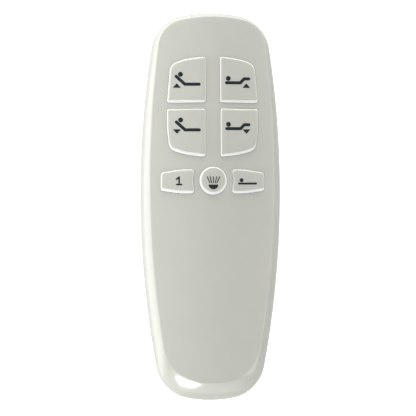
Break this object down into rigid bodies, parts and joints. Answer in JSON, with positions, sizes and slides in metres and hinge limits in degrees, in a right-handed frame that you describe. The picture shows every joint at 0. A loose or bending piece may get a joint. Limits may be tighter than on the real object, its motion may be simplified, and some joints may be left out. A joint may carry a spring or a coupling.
{
  "type": "bed remote control handset",
  "caption": "Slim hand-held radio remote for an adjustable bed: crowned oval case with sprung rubber keys and a sliding battery door.",
  "frame": {"origin": "on the plane of the flat back, at the middle of the outline's length and width, with the handset lying on its back", "axes": "+Y towards the head end with the keys, +Z out of the key face, +X to the right as the holder looks at the keys"},
  "size_m": [0.0598, 0.165, 0.0226],
  "materials": {
    "housing": "warm light grey moulded ABS, satin gloss",
    "key_cap": "warm light grey key caps with printed slate symbols",
    "key_silicone": "white silicone rubber",
    "carbon": "carbon-loaded silicone",
    "board": "green solder mask on glass-epoxy",
    "chip": "black moulded epoxy",
    "module_can": "tin-plated can",
    "contact_metal": "nickel-plated spring steel",
    "steel": "zinc-plated self-tapping screw",
    "cell_jacket": "printed cell jacket over steel can, unmarked",
    "key_ink": "pad-printed slate ink of the key symbols",
    "lead_jacket": "PVC insulated lead"
  },
  "bodies": {
    "case": {"web_head_up": "key_silicone", "web_head_down": "key_silicone", "web_foot_up": "key_silicone", "web_foot_down": "key_silicone", "web_preset": "key_silicone", "web_light": "key_silicone", "web_flat": "key_silicone", "screw_head_left": "steel", "screw_head_right": "steel", "screw_middle_left": "steel", "screw_middle_right": "steel", "screw_foot": "steel", "front_housing": "housing", "rear_housing": "housing", "keypad_mat": "key_silicone", "circuit_board": "board", "controller_chip": "chip", "radio_module": "module_can", "crystal": "module_can", "capacitor": "chip", "antenna_coil": "contact_metal", "cell_1": "cell_jacket", "cell_2": "cell_jacket", "cell_3": "cell_jacket", "contact_positive": "contact_metal", "contact_negative": "contact_metal", "contact_link_head": "contact_metal", "contact_link_foot": "contact_metal", "spring_1": "contact_metal", "spring_2": "contact_metal", "spring_3": "contact_metal", "lead_positive": "lead_jacket", "lead_negative": "lead_jacket"},
    "door": {"battery_door": "housing"},
    "key_head_up": {"cap_head_up": "key_cap", "key_body_head_up": "key_silicone", "pill_head_up": "carbon"},
    "key_head_down": {"cap_head_down": "key_cap", "key_body_head_down": "key_silicone", "pill_head_down": "carbon"},
    "key_foot_up": {"cap_foot_up": "key_cap", "key_body_foot_up": "key_silicone", "pill_foot_up": "carbon"},
    "key_foot_down": {"cap_foot_down": "key_cap", "key_body_foot_down": "key_silicone", "pill_foot_down": "carbon"},
    "key_preset": {"cap_preset": "key_cap", "key_body_preset": "key_silicone", "pill_preset": "carbon"},
    "key_light": {"cap_light": "key_cap", "key_body_light": "key_silicone", "pill_light": "carbon"},
    "key_flat": {"cap_flat": "key_cap", "key_body_flat": "key_silicone", "pill_flat": "carbon"}
  },
  "joints": [
    {"name": "press_head_up", "type": "slide", "parent": "case", "child": "key_head_up", "axis": [0, 0, 1], "range_m": [-0.001, 0], "stiffness_N_per_m": 500, "springref_m": 0.0005, "deforming": ["web_head_up"]},
    {"name": "press_head_down", "type": "slide", "parent": "case", "child": "key_head_down", "axis": [0, 0, 1], "range_m": [-0.001, 0], "stiffness_N_per_m": 500, "springref_m": 0.0005, "deforming": ["web_head_down"]},
    {"name": "press_foot_up", "type": "slide", "parent": "case", "child": "key_foot_up", "axis": [0, 0, 1], "range_m": [-0.001, 0], "stiffness_N_per_m": 500, "springref_m": 0.0005, "deforming": ["web_foot_up"]},
    {"name": "press_foot_down", "type": "slide", "parent": "case", "child": "key_foot_down", "axis": [0, 0, 1], "range_m": [-0.001, 0], "stiffness_N_per_m": 500, "springref_m": 0.0005, "deforming": ["web_foot_down"]},
    {"name": "press_preset", "type": "slide", "parent": "case", "child": "key_preset", "axis": [0, 0, 1], "range_m": [-0.001, 0], "stiffness_N_per_m": 500, "springref_m": 0.0005, "deforming": ["web_preset"]},
    {"name": "press_light", "type": "slide", "parent": "case", "child": "key_light", "axis": [0, 0, 1], "range_m": [-0.001, 0], "stiffness_N_per_m": 500, "springref_m": 0.0005, "deforming": ["web_light"]},
    {"name": "press_flat", "type": "slide", "parent": "case", "child": "key_flat", "axis": [0, 0, 1], "range_m": [-0.001, 0], "stiffness_N_per_m": 500, "springref_m": 0.0005, "deforming": ["web_flat"]},
    {"name": "door_slide", "type": "slide", "parent": "case", "child": "door", "axis": [0, -1, 0], "range_m": [0, 0.072]}
  ]
}
